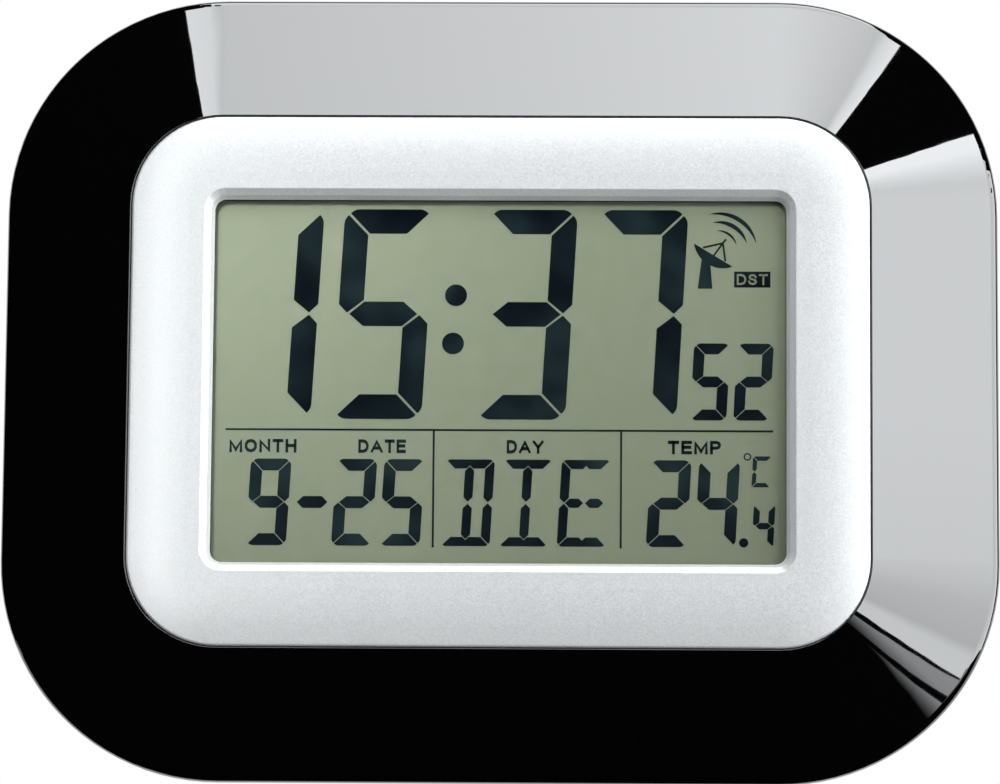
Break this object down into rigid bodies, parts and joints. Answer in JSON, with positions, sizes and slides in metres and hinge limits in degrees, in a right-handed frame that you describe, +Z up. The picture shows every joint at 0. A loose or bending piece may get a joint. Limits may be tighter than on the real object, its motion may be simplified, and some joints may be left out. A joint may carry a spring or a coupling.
{
  "type": "digital wall clock",
  "caption": "Radio-controlled digital wall clock: gloss sloped frame, silver bezel and segment display, with a keyhole, fold-out stand, rear keys and a sliding battery door.",
  "frame": {"origin": "on the wall plane, in the middle of the keyhole's round mouth", "axes": "+X to the right seen from the front, +Y into the wall (the clock faces -Y), +Z up"},
  "size_m": [0.262, 0.031, 0.2084],
  "materials": {
    "gloss_black": "polished piano black",
    "silver_paint": "satin silver metallic paint",
    "clear_plastic": "clear polished lens",
    "foam": "closed-cell foam",
    "polariser": "anti-glare film",
    "display_glass": "thin clear glass",
    "seal_resin": "cured resin",
    "display_ink": "dark display segments",
    "reflector_film": "grey-green reflector",
    "white_plastic": "moulded",
    "steel": "zinc plated",
    "rubber": "soft rubber",
    "board": "solder mask",
    "chip": "moulded epoxy",
    "can": "sleeved can",
    "ferrite": "sintered ferrite",
    "copper": "enamelled copper",
    "cell_sleeve": "plain sleeve",
    "red_lead": "insulated wire",
    "black_lead": "insulated wire",
    "black_case": "fine moulded texture",
    "key_grey": "moulded"
  },
  "bodies": {
    "case": {"antenna_brackets": "white_plastic", "antenna_coil": "copper", "antenna_leads": "copper", "board_screws": "steel", "bridge_contact": "steel", "case_screws": "steel", "clock_crystal": "steel", "controller_chip": "chip", "date_segments": "display_ink", "display_lens": "clear_plastic", "display_symbols": "display_ink", "ferrite_rod": "ferrite", "front_frame": "gloss_black", "holder_screws": "steel", "lcd_edge_seal": "seal_resin", "lcd_front_glass": "display_glass", "lcd_front_polariser": "polariser", "lcd_holder": "white_plastic", "lcd_rear_glass": "display_glass", "lcd_reflector": "reflector_film", "lens_gasket": "foam", "lower_cell": "cell_sleeve", "main_board": "board", "negative_contact": "steel", "negative_lead": "black_lead", "positive_contact": "steel", "positive_lead": "red_lead", "power_capacitor": "can", "rear_cover": "black_case", "receiver_module": "board", "seconds_segments": "display_ink", "silver_bezel": "silver_paint", "stand_hinge_pin": "steel", "switch_bodies": "chip", "temperature_segments": "display_ink", "temperature_sensor": "chip", "time_segments": "display_ink", "upper_cell": "cell_sleeve", "weekday_segments": "display_ink", "zebra_strip": "rubber"},
    "stand": {"stand_leg": "black_case", "stand_foot_pad": "rubber"},
    "door": {"battery_door": "black_case"},
    "signal_key": {"signal_button": "key_grey", "signal_plunger": "key_grey"},
    "unit_key": {"unit_button": "key_grey", "unit_plunger": "key_grey"},
    "down_key": {"down_button": "key_grey", "down_plunger": "key_grey"},
    "up_key": {"up_button": "key_grey", "up_plunger": "key_grey"},
    "set_key": {"set_button": "key_grey", "set_plunger": "key_grey"},
    "reset_key": {"reset_button": "key_grey", "reset_plunger": "key_grey"}
  },
  "joints": [
    {"name": "stand_fold", "type": "hinge", "parent": "case", "child": "stand", "pos_m": [0, -0.0024, -0.052], "axis": [1, 0, 0], "range_deg": [0, 25]},
    {"name": "door_slide", "type": "slide", "parent": "case", "child": "door", "axis": [1, 0, 0], "range_m": [0, 0.062]},
    {"name": "signal_press", "type": "slide", "parent": "case", "child": "signal_key", "axis": [0, -1, 0], "range_m": [0, 0.0004], "stiffness_N_per_m": 400, "springref_m": -0.001},
    {"name": "unit_press", "type": "slide", "parent": "case", "child": "unit_key", "axis": [0, -1, 0], "range_m": [0, 0.0004], "stiffness_N_per_m": 400, "springref_m": -0.001},
    {"name": "down_press", "type": "slide", "parent": "case", "child": "down_key", "axis": [0, -1, 0], "range_m": [0, 0.0004], "stiffness_N_per_m": 400, "springref_m": -0.001},
    {"name": "up_press", "type": "slide", "parent": "case", "child": "up_key", "axis": [0, -1, 0], "range_m": [0, 0.0004], "stiffness_N_per_m": 400, "springref_m": -0.001},
    {"name": "set_press", "type": "slide", "parent": "case", "child": "set_key", "axis": [0, -1, 0], "range_m": [0, 0.0004], "stiffness_N_per_m": 400, "springref_m": -0.001},
    {"name": "reset_press", "type": "slide", "parent": "case", "child": "reset_key", "axis": [0, -1, 0], "range_m": [0, 0.0004], "stiffness_N_per_m": 400, "springref_m": -0.001}
  ]
}
